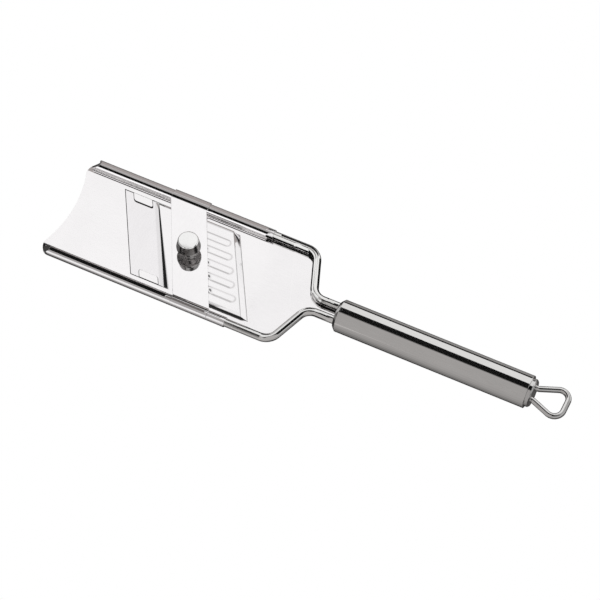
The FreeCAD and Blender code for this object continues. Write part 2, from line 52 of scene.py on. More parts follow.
# --------------------------------------------------------------- helpers
def fillet(points, radii, seg=6):
    """Rounds the inner corners of an open 2-D polyline."""
    pts = [Vector(p) for p in points]
    if not isinstance(radii, (list, tuple)):
        radii = [radii] * (len(pts) - 2)
    out = [pts[0]]
    for a, b, c, rad in zip(pts, pts[1:], pts[2:], radii):
        u, v = a - b, c - b
        lu, lv = u.length, v.length
        u.normalize()
        v.normalize()
        ang = u.angle(v)
        if rad <= 0 or ang > math.radians(178):
            out.append(b)
            continue
        t = min(rad / math.tan(ang / 2), lu * 0.49, lv * 0.49)
        rad = t * math.tan(ang / 2)
        s, e = b + u * t, b + v * t
        ctr = b + (u + v).normalized() * (rad / math.sin(ang / 2))
        a0 = math.atan2((s - ctr).y, (s - ctr).x)
        a1 = math.atan2((e - ctr).y, (e - ctr).x)
        da = (a1 - a0 + math.pi) % (2 * math.pi) - math.pi
        out += [ctr + Vector((math.cos(a0 + da * k / seg), math.sin(a0 + da * k / seg))) * rad for k in range(seg + 1)]
    out.append(pts[-1])
    return out


def sheet(bm, outer, inner, faces, index=0):
    """A closed sheet: two layers over the same faces, joined along every free edge."""
    vo = [bm.verts.new(p) for p in outer]
    vi = [bm.verts.new(p) for p in inner]
    count = {}
    for f in faces:
        bm.faces.new([vo[i] for i in f]).material_index = index
        bm.faces.new([vi[i] for i in reversed(f)]).material_index = index
        for a, b in zip(f, f[1:] + f[:1]):
            key = (min(a, b), max(a, b))
            count.setdefault(key, []).append((a, b))
    for runs in count.values():
        if len(runs) == 1:
            a, b = runs[0]
            bm.faces.new((vo[b], vo[a], vi[a], vi[b])).material_index = index


def grid_faces(rows, cols, start=0):
    return [[start + i * cols + j, start + i * cols + j + 1, start + (i + 1) * cols + j + 1, start + (i + 1) * cols + j]
            for i in range(rows - 1) for j in range(cols - 1)]


def prism(bm, outline, z0, z1, skew=0.0, index=0):
    """Flat plate on a plan outline (x at y=0, y)."""
    pts = [(x - y * skew, y) for x, y in outline]
    sheet(bm, [(x, y, z0) for x, y in pts], [(x, y, z1) for x, y in pts], [list(range(len(pts)))], index)


def skew_bar(bm, profile, y0, y1, skew):
    """A profile of (x at y=0, z) points run along a skewed line from y0 to y1."""
    sheet(bm, [(x - y0 * skew, y0, z) for x, z in profile], [(x - y1 * skew, y1, z) for x, z in profile], [list(range(len(profile)))])


def lathe(bm, profile, place, n=96, closed=False):
    rings = []
    for r, h in profile:
        if r < 1e-6:
            rings.append([bm.verts.new(place(0.0, 0.0, h))])
        else:
            rings.append([bm.verts.new(place(r * math.cos(2 * math.pi * k / n), r * math.sin(2 * math.pi * k / n), h)) for k in range(n)])
    pairs = list(zip(rings, rings[1:])) + ([(rings[-1], rings[0])] if closed else [])
    for a, b in pairs:
        for k in range(n):
            m = (k + 1) % n
            if len(a) == 1 and len(b) == 1:
                continue
            if len(a) == 1:
                bm.faces.new((a[0], b[k], b[m]))
            elif len(b) == 1:
                bm.faces.new((a[k], a[m], b[0]))
            else:
                bm.faces.new((a[k], a[m], b[m], b[k]))


def tube(bm, path, z, radius, n=48, front=None, round_ends=0.35):
    """Round wire along a level path; front(y, z) can set where its first end is cut."""
    pts = [Vector((p[0], p[1], z)) for p in path]
    rings = []
    for i, p in enumerate(pts):
        t = (pts[min(i + 1, len(pts) - 1)] - pts[max(i - 1, 0)]).normalized()
        side = Vector((-t.y, t.x, 0))
        ring = []
        for k in range(n):
            a = 2 * math.pi * k / n
            q = p + (side * math.cos(a) + Vector((0, 0, 1)) * math.sin(a)) * radius
            if i == 0 and front:
                q.x = front(q.y, q.z)
            ring.append(q)
        rings.append((ring, t))
    first, t0 = rings[0]
    last, t1 = rings[-1]
    c0 = sum(first, Vector()) / n
    c1 = sum(last, Vector()) / n
    out = [[c0 + (q - c0) * (1 - round_ends / radius) for q in first],
           [c0 + (q - c0) * (1 - 0.3 * round_ends / radius) + t0 * 0.3 * round_ends for q in first],
           [q + t0 * round_ends for q in first]]
    out += [ring for ring, _ in rings[1:-1]]
    out += [[q - t1 * round_ends for q in last],
            [c1 + (q - c1) * (1 - 0.3 * round_ends / radius) - t1 * 0.3 * round_ends for q in last],
            [c1 + (q - c1) * (1 - round_ends / radius) for q in last]]
    vs = [[bm.verts.new(q) for q in ring] for ring in out]
    for a, b in zip(vs, vs[1:]):
        for k in range(n):
            m = (k + 1) % n
            bm.faces.new((a[k], a[m], b[m], b[k]))
    bm.faces.new(list(reversed(vs[0])))
    bm.faces.new(vs[-1])


def piece(name, bm, mat, body, node, bevel=0.0, sharp=32.0, second=None):
    bmesh.ops.recalc_face_normals(bm, faces=bm.faces)
    me = bpy.data.meshes.new(name)
    bm.to_mesh(me)
    bm.free()
    me.transform(Matrix.Scale(MM, 4))
    for p in me.polygons:
        p.use_smooth = True
    me.set_sharp_from_angle(angle=math.radians(sharp))
    ob = bpy.data.objects.new(name, me)
    scene.collection.objects.link(ob)
    me.materials.append(mat)
    if second:
        me.materials.append(second)
    if bevel:
        mod = ob.modifiers.new("edge", "BEVEL")
        mod.width = bevel * MM
        mod.segments = 2
        mod.limit_method = "ANGLE"
        mod.angle_limit = math.radians(40)
        wn = ob.modifiers.new("flat", "WEIGHTED_NORMAL")
        wn.keep_sharp = True
        wn.weight = 50
    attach(ob, body)
    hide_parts(node)
    return ob


# ------------------------------------------------------------- materials
def steel(name, dark, light, rough, streak=(1, 1, 1), scale=60.0, bump=0.02, smudge=0.5, crease_shade=None):
    """Stainless steel: fine finishing streaks, faint cloudy smudges and a trace of relief, all in object space."""
    mat = bpy.data.materials.new(name)
    mat.use_nodes = True
    nt = mat.node_tree
    for n in list(nt.nodes):
        nt.nodes.remove(n)

    def node(kind, x, y):
        n = nt.nodes.new(kind)
        n.location = (x, y)
        return n

    out = node("ShaderNodeOutputMaterial", 700, 0)
    bsdf = node("ShaderNodeBsdfPrincipled", 400, 0)
    bsdf.inputs["Metallic"].default_value = 1.0
    nt.links.new(bsdf.outputs[0], out.inputs[0])
    co = node("ShaderNodeTexCoord", -1000, 0)
    mp = node("ShaderNodeMapping", -800, 100)
    mp.inputs["Scale"].default_value = streak
    nt.links.new(co.outputs["Object"], mp.inputs["Vector"])
    fine = node("ShaderNodeTexNoise", -600, 150)
    fine.inputs["Scale"].default_value = scale
    fine.inputs["Detail"].default_value = 5.0
    fine.inputs["Roughness"].default_value = 0.65
    nt.links.new(mp.outputs[0], fine.inputs["Vector"])
    cloud = node("ShaderNodeTexNoise", -600, -150)
    cloud.inputs["Scale"].default_value = 38.0
    cloud.inputs["Detail"].default_value = 3.0
    nt.links.new(co.outputs["Object"], cloud.inputs["Vector"])
    mix = node("ShaderNodeMix", -380, 0)
    mix.data_type = "FLOAT"
    mix.inputs["Factor"].default_value = smudge
    nt.links.new(fine.outputs["Fac"], mix.inputs["A"])
    nt.links.new(cloud.outputs["Fac"], mix.inputs["B"])
    col = node("ShaderNodeValToRGB", -150, 150)
    col.color_ramp.elements[0].position = 0.3
    col.color_ramp.elements[1].position = 0.7
    col.color_ramp.elements[0].color = (*dark, 1)
    col.color_ramp.elements[1].color = (*light, 1)
    nt.links.new(mix.outputs["Result"], col.inputs["Fac"])
    if crease_shade:
        # painted shade: the bends and the rib edges are darkened in the base colour
        at = node("ShaderNodeAttribute", -380, 400)
        at.attribute_name = "crease_shade"
        crease_shade_mix = node("ShaderNodeMix", 100, 250)
        crease_shade_mix.data_type = "RGBA"
        crease_shade_mix.blend_type = "MULTIPLY"
        crease_shade_mix.inputs["B"].default_value = (*crease_shade, 1)
        nt.links.new(at.outputs["Fac"], crease_shade_mix.inputs["Factor"])
        nt.links.new(col.outputs["Color"], crease_shade_mix.inputs["A"])
        nt.links.new(crease_shade_mix.outputs["Result"], bsdf.inputs["Base Color"])
    else:
        nt.links.new(col.outputs["Color"], bsdf.inputs["Base Color"])
    rg = node("ShaderNodeMapRange", -150, -100)
    rg.inputs["From Min"].default_value = 0.3
    rg.inputs["From Max"].default_value = 0.7
    rg.inputs["To Min"].default_value = rough[0]
    rg.inputs["To Max"].default_value = rough[1]
    nt.links.new(mix.outputs["Result"], rg.inputs["Value"])
    nt.links.new(rg.outputs["Result"], bsdf.inputs["Roughness"])
    bp = node("ShaderNodeBump", 100, -250)
    bp.inputs["Strength"].default_value = bump
    bp.inputs["Distance"].default_value = 0.0001
    nt.links.new(fine.outputs["Fac"], bp.inputs["Height"])
    nt.links.new(bp.outputs["Normal"], bsdf.inputs["Normal"])
    return mat


deck_mat = steel("deck_steel_finish", (0.815, 0.80, 0.806), (0.875, 0.86, 0.866), (0.035, 0.075), (1, 6, 1), 220.0, 0.012)
rail_mat = steel("rod_steel_finish", (0.74, 0.735, 0.725), (0.82, 0.815, 0.805), (0.05, 0.10), (1, 12, 12), 160.0, 0.012)
blade_mat = steel("blade_steel_finish", (0.755, 0.738, 0.748), (0.845, 0.828, 0.838), (0.05, 0.09), (14, 1, 1), 180.0, 0.015)
# near-black copy of the steel: painted shade for the gaps under the blade and round the tabs
gap_shade_mat = steel("painted_gap_shade_steel", (0.035, 0.034, 0.033), (0.07, 0.068, 0.066), (0.45, 0.6), (3, 3, 3), 160.0, 0.1)
# the last tint is the painted shade along the bends and rib edges
crinkle_mat = steel("crinkle_steel_finish", (0.815, 0.80, 0.806), (0.875, 0.86, 0.866), (0.05, 0.10), (1, 5, 1), 200.0, 0.012, 0.5, (0.80, 0.793, 0.793))
cover_mat = steel("cover_steel_finish", (0.825, 0.81, 0.816), (0.885, 0.87, 0.876), (0.03, 0.06), (5, 1, 1), 220.0, 0.01)
knob_mat = steel("knob_steel_finish", (0.78, 0.775, 0.77), (0.86, 0.855, 0.85), (0.06, 0.11), (1, 1, 22), 120.0, 0.02)
# darker copy of the knob steel: painted shade for the knob's sides
knob_side_shade_mat = steel("knob_side_painted_shade", (0.22, 0.212, 0.206), (0.29, 0.281, 0.274), (0.15, 0.20), (1, 1, 30), 140.0, 0.01)
clamp_mat = steel("clamp_steel_finish", (0.60, 0.60, 0.60), (0.70, 0.70, 0.70), (0.15, 0.25), (1, 4, 1), 180.0, 0.03)
grip_mat = steel("handle_steel_finish", (0.60, 0.592, 0.582), (0.70, 0.692, 0.682), (0.055, 0.085), (1, 26, 26), 150.0, 0.02, 0.25)
cap_mat = steel("cap_steel_finish", (0.56, 0.552, 0.545), (0.67, 0.662, 0.655), (0.06, 0.10), (20, 1, 1), 150.0, 0.02)
front_cap_mat = steel("front_cap_finish", (0.36, 0.352, 0.348), (0.45, 0.442, 0.437), (0.06, 0.10), (20, 1, 1), 150.0, 0.02)
loop_mat = steel("loop_steel_finish", (0.62, 0.612, 0.604), (0.72, 0.712, 0.704), (0.05, 0.10), (1, 1, 1), 180.0, 0.012)


# ------------------------------------------------------------- deck sheet
def front_cut(y, z):
    """Front outline of the deck in plan, leaning back above deck level."""
    q = abs(y)
    if q <= FRONT_HALF:
        x = FRONT_X - math.sqrt(FRONT_ARC ** 2 - FRONT_HALF ** 2) + math.sqrt(FRONT_ARC ** 2 - q * q)
    else:
        x = FRONT_X + CORNER - math.sqrt(max(CORNER ** 2 - min(q - FRONT_HALF, CORNER) ** 2, 0.0))
    return max(x, FRONT_X + 1.3 * (z - DECK_TOP))


def make_deck():
    bm = bmesh.new()
    outer, inner, faces = [], [], []
    rows = 54
    edge = {}
    for s in (-1, 1):
        base = len(outer)
        for i in range(rows + 1):
            a = math.radians(-90 + 290 * i / rows)
            for end in (0, 1):
                for store, rad in ((outer, CURL_OUT), (inner, CURL_IN)):
                    y, z = s * (RAIL_Y + rad * math.cos(a)), RAIL_Z + rad * math.sin(a)
                    store.append((CURL_END if end else front_cut(y, z), y, z))
        faces += grid_faces(rows + 1, 2, base)
        edge[s] = (base, base + 1)

    def flat(x, y):
        outer.append((x, y, DECK_LOW))
        inner.append((x, y, DECK_TOP))
        return len(outer) - 1

    front = [flat(front_cut(y, 0), y) for y in [-RAIL_Y + 5.85 * k / 6 for k in range(1, 7)]]
    front += [flat(front_cut(y, 0), y) for y in [-FRONT_HALF + 2 * FRONT_HALF * k / 40 for k in range(1, 40)]]
    front += [flat(front_cut(y, 0), y) for y in [RAIL_Y - 5.85 * k / 6 for k in range(6, 0, -1)]]
    wa, wb, wc, wd = [flat(x - y * SKEW, y) for x, y in ((WIN_FRONT, -WIN_HALF), (WIN_FRONT, WIN_HALF), (WIN_BACK, WIN_HALF), (WIN_BACK, -WIN_HALF))]
    half = fillet([(CURL_END, RAIL_Y), (-17.46, RAIL_Y), (-10.4, 28.4), (-2.7, 8.7), (1.8, 5.2), (15.8, 5.2), (15.8, 0)], [5.0, 5.0, 4.0, 4.0, 0.5], 5)[1:-1]
    back = [flat(p.x, p.y) for p in half] + [flat(p.x, -p.y) for p in reversed(half)]
    p0, e0 = edge[-1]
    p1, e1 = edge[1]
    faces.append([p0] + front + [p1, wb, wa])
    faces.append([p0, wa, wd, e0])
    faces.append([p1, e1, wc, wb])
    faces.append([e0, wd, wc, e1] + back)
    sheet(bm, outer, inner, faces)

    # sunken land between the slots: floor, rolled lip towards the straight blade, two side walls
    zf = DECK_TOP - 1.2
    prof = [(-95.1, zf - 0.10), (-94.7, zf - 0.05), (-93.9, zf), (-91.9, zf), (-91.6, zf - 0.07), (-91.3, zf), (-80.5, zf)]
    top, low = [], []
    for x, z in prof:
        for y in (-25.6, 25.6):
            lean = -0.035 * y * min(max((-86.0 - x) / 6.0, 0.0), 1.0)
            top.append((x + lean - y * SKEW, y, z))
            low.append((x + lean - y * SKEW, y, z - SHEET))
    sheet(bm, top, low, grid_faces(len(prof), 2))
    for y0, y1 in ((-25.9, -25.4), (25.4, 25.9)):
        skew_bar(bm, [(-92.4, zf - SHEET), (-80.5, zf - SHEET), (-80.5, DECK_LOW + 0.01), (-92.4, DECK_LOW + 0.01)], y0, y1, SKEW)
    # tabs folded over the blade's ends; near-black ledges under the blade and a dark outline round each tab, both
    # painted shade for the gaps
    for t in (-1, 1):
        gap = 0.75 if t > 0 else 0.3
        rounded = fillet([(-112.4, 25.0), (-112.4, 20.6), (-100.4, 20.6), (-100.4, 25.0)], [1.3, 1.3], 6)
        prism(bm, [(p.x, p.y * t) for p in rounded], DECK_TOP + 0.03, DECK_TOP + SHEET, SKEW)
        # dark plate a little larger than the tab: a painted shadow line round it
        shadow_outline = fillet([(-112.75, 25.38), (-112.75, 20.6 - gap), (-100.05, 20.6 - gap), (-100.05, 25.38)], [1.5, 1.5], 6)
        prism(bm, [(p.x, p.y * t) for p in shadow_outline], DECK_TOP - 0.03, DECK_TOP + 0.025, SKEW, 1)
        # near-black ledges under the blade: painted shade seen through the slots
        prism(bm, [(x, y * t) for x, y in ((-119.4, 23.4), (-98.9, 23.4), (-98.9, 26.2), (-119.4, 26.2))], DECK_LOW - SHEET, DECK_LOW - 0.005, SKEW, 1)
    prism(bm, [(-119.4, -23.4), (-116.0, -23.4), (-116.0, 23.4), (-119.4, 23.4)], DECK_LOW - SHEET, DECK_LOW - 0.005, SKEW, 1)
    return piece("deck_sheet", bm, deck_mat, "frame", "deck_plate", 0.09, second=gap_shade_mat)


make_deck()

# ------------------------------------------------------------- bent rods
for tag, s in (("left", -1), ("right", 1)):
    path = fillet([(-157.0, RAIL_Y * s), (-11.6, RAIL_Y * s), (-1.0, 4.6 * s), (44.0, 4.6 * s)], [8.5, 8.5], 24)
    path = [path[0], path[0] + Vector((14.0, 0.0))] + path[1:]
    bm = bmesh.new()
    tube(bm, path, RAIL_Z, ROD_R, 56, lambda y, z: front_cut(y, z) + 0.25)
    piece("rod_" + tag, bm, rail_mat, "frame", "frame_rod_" + tag)

# ---------------------------------------------------------------- blades
bm = bmesh.new()
skew_bar(bm, [(-117.85, DECK_LOW), (-96.6, DECK_LOW), (-96.6, DECK_LOW + 0.03), (-97.9, DECK_LOW + 0.30), (-99.2, DECK_LOW + 0.46), (-100.2, DECK_LOW + 0.48), (-117.85, DECK_LOW + 0.48)], -24.9, 24.9, SKEW)
piece("blade_straight", bm, blade_mat, "frame", "straight_blade")


def make_crinkle():
    """Raised strip with five ribs: low and soft in the open, full waves at the cutting end under the cover."""
    bm = bmesh.new()
    us = [-77.5 + 34.2 * i / 120 for i in range(121)]
    vs = [-25.1 + 50.2 * j / 220 for j in range(221)]
    top, low, crease_shade = [], [], []
    for u in us:
        for y in vs:
            x = u - y * SKEW
            z = DECK_TOP + 2.3
            crease = 0.0
            if u > -47.9:
                k = min((u + 47.9) / 4.6, 1.0)
                bend = 0.14
                if k < bend:
                    drop = k * k / (2 * bend * (1 - bend))
                elif k > 1 - bend:
                    drop = 1 - (1 - k) ** 2 / (2 * bend * (1 - bend))
                else:
                    drop = (k - bend / 2) / (1 - bend)
                z -= 2.3 * drop
                crease = max(crease, 0.6 * max(0.0, 1 - abs(k - 0.07) / 0.15), 0.8 * max(0.0, 1 - abs(k - 0.93) / 0.15))
            roll = max((abs(y) - 23.2) / 1.9, 0.0)
            z -= 0.15 * roll * roll
            lift = 0.0
            m = min(max((-64.6 - u) / 3.4, 0.0), 1.0)
            m = m * m * (3 - 2 * m)
            for r in range(5):
                yr = 8.18 * (2 - r) - 0.35
                tip = -49.0 - yr * SKEW - 3.5
                dist = math.hypot(max(x - tip, 0.0), y - yr)
                wave = 0.6 * math.cos(0.5 * math.pi * dist / 2.2) ** 1.2 if dist < 2.2 else 0.0
                k = min(max((2.9 - dist) / 1.7, 0.0), 1.0)
                low_rib = 0.055 * k * k * (3 - 2 * k)
                lift = max(lift, low_rib + (wave - low_rib) * m)
                crease = max(crease, (1 - m) * max(0.0, 1 - abs(dist - 2.05) / 0.95))
            top.append((x, y, z + lift))
            low.append((x, y, z + lift - SHEET))
            # weight of the painted shade darkening along the bends and rib edges
            crease_shade.append(crease * crease * (3 - 2 * crease))
    sheet(bm, top, low, grid_faces(len(us), len(vs)))
    layer = bm.verts.layers.float.new("crease_shade")
    for v, f in zip(bm.verts, crease_shade + crease_shade):
        v[layer] = f
    return piece("blade_crinkle", bm, crinkle_mat, "frame", "crinkle_blade", 0.0, 50.0)


make_crinkle()


# ----------------------------------------------------------------- cover
def make_cover():
    bm = bmesh.new()
    top, thick, tan = DECK_TOP + 4.9, 0.55, 0.5385
    rad = 3.65
    meet = math.degrees(math.asin((top - RAIL_Z) / rad))
    start = 180 - meet
    arc = [(RAIL_Y + rad * math.cos(math.radians(a)), RAIL_Z + rad * math.sin(math.radians(a))) for a in [start - 6 - (start - 6 - 35) * k / 22 for k in range(23)]]
    half = fillet([(0.0, top), (RAIL_Y + rad * math.cos(math.radians(start)), top), arc[0]] , [0.7], 5)
    half = half[1:-1] + [Vector(p) for p in arc]
    prof = [Vector((-p.x, p.y)) for p in reversed(half)] + half
    low = []
    for i, p in enumerate(prof):
        t = (prof[min(i + 1, len(prof) - 1)] - prof[max(i - 1, 0)]).normalized()
        low.append(p + Vector((t.y, -t.x)) * thick)
    split = len(half)
    outer, inner, faces = [], [], []

    def cut(y, side):
        c = max(-28.4, min(28.4, y))
        shift = 1.2 * min(max((abs(y) - 28.4) / 2.5, 0.0), 1.0)
        return -78.45 - c * tan + shift + 11.55 * side

    for a, b in zip(prof, low):
        for side in (-1, 0, 1):
            x = cut(a.x, side)
            outer.append((x, a.x, a.y))
            inner.append((x, b.x, b.y))
    faces += grid_faces(split, 3) + grid_faces(split, 3, split * 3)
    near, far = (split - 1) * 3, split * 3
    hole = []
    for k in range(32):
        a = -math.pi / 2 + 2 * math.pi * k / 32
        hole.append(len(outer))
        p = (-78.45 + 2.2 * math.cos(a), 2.2 * math.sin(a))
        outer.append((*p, top))
        inner.append((*p, top - thick))
    faces.append([near + 1, near + 2, far + 2, far + 1] + [hole[k] for k in range(16, -1, -1)])
    faces.append([far + 1, far, near, near + 1] + [hole[k % 32] for k in range(32, 15, -1)])
    sheet(bm, outer, inner, faces)
    return piece("cover_bridge", bm, cover_mat, "cover", "cover_slide", 0.2)


make_cover()

# ------------------------------------------------------------------ knob
bm = bmesh.new()
KZ = 12.81
raw = [(2.05, 0), (4.9, 0), (4.9, 0.9), (4.0, 1.6), (4.0, 3.2), (6.3, 4.1), (7.1, 4.9), (7.1, 6.6), (6.75, 8.2), (6.05, 12.0), (5.55, 12.5), (0, 12.5)]
prof = fillet([(r, z + KZ) for r, z in raw], [0.15, 0.25, 0.4, 0.9, 0.6, 0.7, 0.5, 1.2, 0.5, 0.5, 0.0], 5)
prof = [(p.x, p.y) for p in prof] + [(0.0, KZ + 9.0), (2.05, KZ + 9.0)]
lathe(bm, prof, lambda a, b, h: (-78.45 + a, b, h), 112, closed=True)
# the knob's sides below the top disc get the darker copy, as painted shade
for f in bm.faces:
    if f.calc_center_median().z < KZ + 12.05:
        f.material_index = 1
piece("knob_turned", bm, knob_mat, "knob", "cover_knob", second=knob_side_shade_mat)

# ---------------------------------------------------------------- handle
bm = bmesh.new()
prof = [(8.95, 18.02), (8.95, 135.0)] + [(p.x, p.y) for p in fillet([(9.3, 135.0), (9.75, 135.0), (9.75, 134.0)], 0.3, 5)]
prof += [(9.75, x) for x in (120.0, 90.0, 60.0, 30.0)] + [(9.75, 18.4), (9.75, 18.12), (9.68, 18.02)]
lathe(bm, prof, lambda a, b, h: (h, a, GRIP_Z + b), 144, closed=True)
piece("grip_tube", bm, grip_mat, "frame", "handle_tube")

bm = bmesh.new()
prof = fillet([(0.0, 16.0), (7.45, 16.0), (7.85, 16.2), (9.75, 18.0), (8.9, 18.0), (8.9, 27.0), (0.0, 27.0)], [0.5, 0.5, 0.06, 0.0, 0.2], 4)
lathe(bm, [(p.x, p.y) for p in prof], lambda a, b, h: (h, a, GRIP_Z + b), 144)
piece("grip_front_cap", bm, front_cap_mat, "frame", "handle_front_cap")

bm = bmesh.new()
prof = fillet([(0.0, 137.8), (7.45, 137.8), (8.35, 136.9), (8.35, 135.02), (8.93, 135.02), (8.93, 127.0), (0.0, 127.0)], [0.4, 0.4, 0.0, 0.0, 0.2], 4)
lathe(bm, [(p.x, p.y) for p in prof], lambda a, b, h: (h, a, GRIP_Z + b), 120)
piece("grip_end_cap", bm, cap_mat, "frame", "handle_end_cap")

bm = bmesh.new()
path = fillet([(128.5, 4.0), (138.8, 4.0), (157.05, 11.4), (157.05, -11.4), (138.8, -4.0), (128.5, -4.0)], [6.0, 5.5, 5.5, 6.0], 20)
tube(bm, path, GRIP_Z, 1.75, 40)
piece("loop_wire", bm, loop_mat, "frame", "hanging_loop")

# pieces kept from the frame
for node in ("clamp_bridge", "clamp_stud"):
    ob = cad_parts[node]
    ob.data.materials.clear()
    ob.data.materials.append(clamp_mat)


# ----------------------------------------------------------------- stage
def glow(name, strength, tint=(1, 1, 1)):
    mat = bpy.data.materials.new(name)
    mat.use_nodes = True
    nt = mat.node_tree
    for n in list(nt.nodes):
        nt.nodes.remove(n)
    out = nt.nodes.new("ShaderNodeOutputMaterial")
    em = nt.nodes.new("ShaderNodeEmission")
    em.inputs["Color"].default_value = (*tint, 1)
    em.inputs["Strength"].default_value = strength
    nt.links.new(em.outputs[0], out.inputs[0])
    return mat


def stage_mesh(name, verts, faces, mat, camera, glossy):
    me = bpy.data.meshes.new(name)
    me.from_pydata(verts, [], faces)
    me.materials.append(mat)
    ob = bpy.data.objects.new(name, me)
    scene.collection.objects.link(ob)
    ob.visible_camera = camera
    ob.visible_glossy = glossy
    ob.visible_shadow = False
    return ob


def floor_z(x):
    return -0.0416 * (x - 0.018)


def floor_with_painted_shadow():
    """Pale floor, with a painted soft shadow right under the deck."""
    mat = glow("floor_white_painted_shadow", 1.0)
    nt = mat.node_tree
    em = [n for n in nt.nodes if n.type == "EMISSION"][0]
    co = nt.nodes.new("ShaderNodeTexCoord")
    xyz = nt.nodes.new("ShaderNodeSeparateXYZ")
    nt.links.new(co.outputs["Object"], xyz.inputs[0])

    def calc(kind, a, b=None):
        n = nt.nodes.new("ShaderNodeMath")
        n.operation = kind
        for socket, value in zip(n.inputs, (a, b)):
            if isinstance(value, float):
                socket.default_value = value
            elif value is not None:
                nt.links.new(value, socket)
        return n.outputs[0]

    def ramp(value, start, full):
        r = nt.nodes.new("ShaderNodeMapRange")
        r.interpolation_type = "SMOOTHSTEP"
        r.inputs["From Min"].default_value = start
        r.inputs["From Max"].default_value = full
        nt.links.new(value, r.inputs["Value"])
        return r.outputs["Result"]

    # painted shadow: the emission falls to near black in a soft-edged box under the deck
    across = ramp(calc("ABSOLUTE", xyz.outputs["Y"]), 0.030, 0.022)
    along = calc("MULTIPLY", ramp(xyz.outputs["X"], -0.148, -0.132), ramp(xyz.outputs["X"], -0.010, -0.030))
    painted_shadow = calc("MULTIPLY", across, along)
    level = nt.nodes.new("ShaderNodeMapRange")
    level.inputs["To Min"].default_value = 1.0
    level.inputs["To Max"].default_value = 0.015
    nt.links.new(painted_shadow, level.inputs["Value"])
    nt.links.new(level.outputs["Result"], em.inputs["Strength"])
    return mat


# pale floor that the front edge and the handle's lower front rim both touch
stage_mesh("floor", [(-6, -6, floor_z(-6) - 0.0001), (6, -6, floor_z(6) - 0.0001), (6, 6, floor_z(6) - 0.0001), (-6, 6, floor_z(-6) - 0.0001)],
           [(0, 1, 2, 3)], floor_with_painted_shadow(), True, False)

TENT = 1.3
WARM, BROWN = (1.0, 0.972, 0.962), (1.0, 0.925, 0.90)


def panel(name, corners, strength, tint=(1, 1, 1)):
    """Flat card seen only in reflections."""
    return stage_mesh(name, corners, [(0, 1, 2, 3)], glow(name + "_light", strength, tint), False, True)


def strip(name, r0, r1, strength, x0, x1, tint=(1, 1, 1), rear=None, radius=TENT):
    """Softbox or flag: a band of the light tent between two angles from straight up, positive towards -Y."""
    n = max(2, int(abs(r1 - r0) / 4))
    verts, faces = [], []
    for k in range(n + 1):
        for x, (a0, a1) in ((x0, (r0, r1)), (x1, rear or (r0, r1))):
            a = math.radians(a0 + (a1 - a0) * k / n)
            verts.append((x, -radius * math.sin(a), radius * math.cos(a)))
    for k in range(n):
        faces.append((2 * k, 2 * k + 1, 2 * k + 3, 2 * k + 2))
    return stage_mesh(name, verts, faces, glow(name + "_light", strength, tint), False, True)


DECK_ZONE, ROD_ZONE, GRIP_ZONE = (-0.75, -0.345), (-0.345, -0.268), (-0.268, 0.005)
# key softbox behind the slicer, flags and fill over it, in three stretches along the tool
strip("key_deck", -34, -24.5, 1.07, -1.6, DECK_ZONE[1])
strip("key_deck_low", -42, -34, 0.74, *DECK_ZONE)
strip("key_rod", -64, -3, 1.04, *ROD_ZONE)
strip("low_deck", -86, -42, 0.03, *DECK_ZONE)
strip("horizon_deck", -92, -86, 0.3, *DECK_ZONE)
strip("low_rod", -92, -64, 0.02, *ROD_ZONE)
strip("low_grip", -92, -75, 0.01, *GRIP_ZONE)
strip("key_grip", -75, 12, 0.95, *GRIP_ZONE)
strip("fill_grip", 12, 92, 0.52, *GRIP_ZONE, WARM)
strip("flag_rod", -3, 38, 0.01, *ROD_ZONE)
strip("fill_rod", 38, 62, 0.17, *ROD_ZONE, WARM)
strip("fill_rod_low", 62, 92, 0.36, *ROD_ZONE, WARM)
strip("top_deck_soft", -24.5, -14, 0.74, *DECK_ZONE)
strip("top_deck", -14, 22, 0.45, *DECK_ZONE, WARM)
strip("side_deck", 22, 50, 0.42, *DECK_ZONE, WARM)
strip("fill_deck", 50, 86, 1.0, *DECK_ZONE)
strip("fill_deck_low", 86, 92, 0.7, *DECK_ZONE)
strip("side_edge", -60, -12, 0.2, 0.005, 0.13)
strip("side_x", -55, -2, 0.5, 0.13, 2.0)
strip("side_low", -90, -55, 1.0, 0.13, 2.0)


def clear_back(ob):
    """Makes a card clear from behind."""
    nt = ob.data.materials[0].node_tree
    em = [n for n in nt.nodes if n.type == "EMISSION"][0]
    out = [n for n in nt.nodes if n.type == "OUTPUT_MATERIAL"][0]
    geo = nt.nodes.new("ShaderNodeNewGeometry")
    clear = nt.nodes.new("ShaderNodeBsdfTransparent")
    mix = nt.nodes.new("ShaderNodeMixShader")
    nt.links.new(geo.outputs["Backfacing"], mix.inputs[0])
    nt.links.new(em.outputs[0], mix.inputs[1])
    nt.links.new(clear.outputs[0], mix.inputs[2])
    nt.links.new(mix.outputs[0], out.inputs[0])


def sleeve(name, r0, r1, rear, strength, tint=(1, 1, 1), around=0.1):
    """Band of the round light sleeve over the handle, seen by the handle between two angles from straight up; clear from outside."""
    n = max(2, int(abs(r1 - r0) / 4))
    verts, faces = [], []
    for k in range(n + 1):
        for x, (a0, a1) in ((-0.0025, (r0, r1)), (0.152, rear)):
            seen = a0 + (a1 - a0) * k / n
            lean = math.radians(0.5 * (28.6 - seen))
            a = math.radians(seen) + math.asin(GRIP_R * MM / around * math.sin(lean))
            verts.append((x, -around * math.sin(a), GRIP_Z * MM + around * math.cos(a)))
    for k in range(n):
        faces.append((2 * k, 2 * k + 1, 2 * k + 3, 2 * k + 2))
    ob = stage_mesh(name, verts, faces, glow(name + "_light", strength, tint), False, True)
    clear_back(ob)
    return ob


sleeve("grip_key", -75, -28.5, (-75, -23.5), 1.06)
sleeve("grip_flag", -28.5, 6.5, (-23.5, 12), 0.006)
sleeve("grip_flag_edge", 6.5, 11, (12, 16), 0.22, WARM)
sleeve("grip_fill", 11, 92, (16, 92), 0.52, WARM)


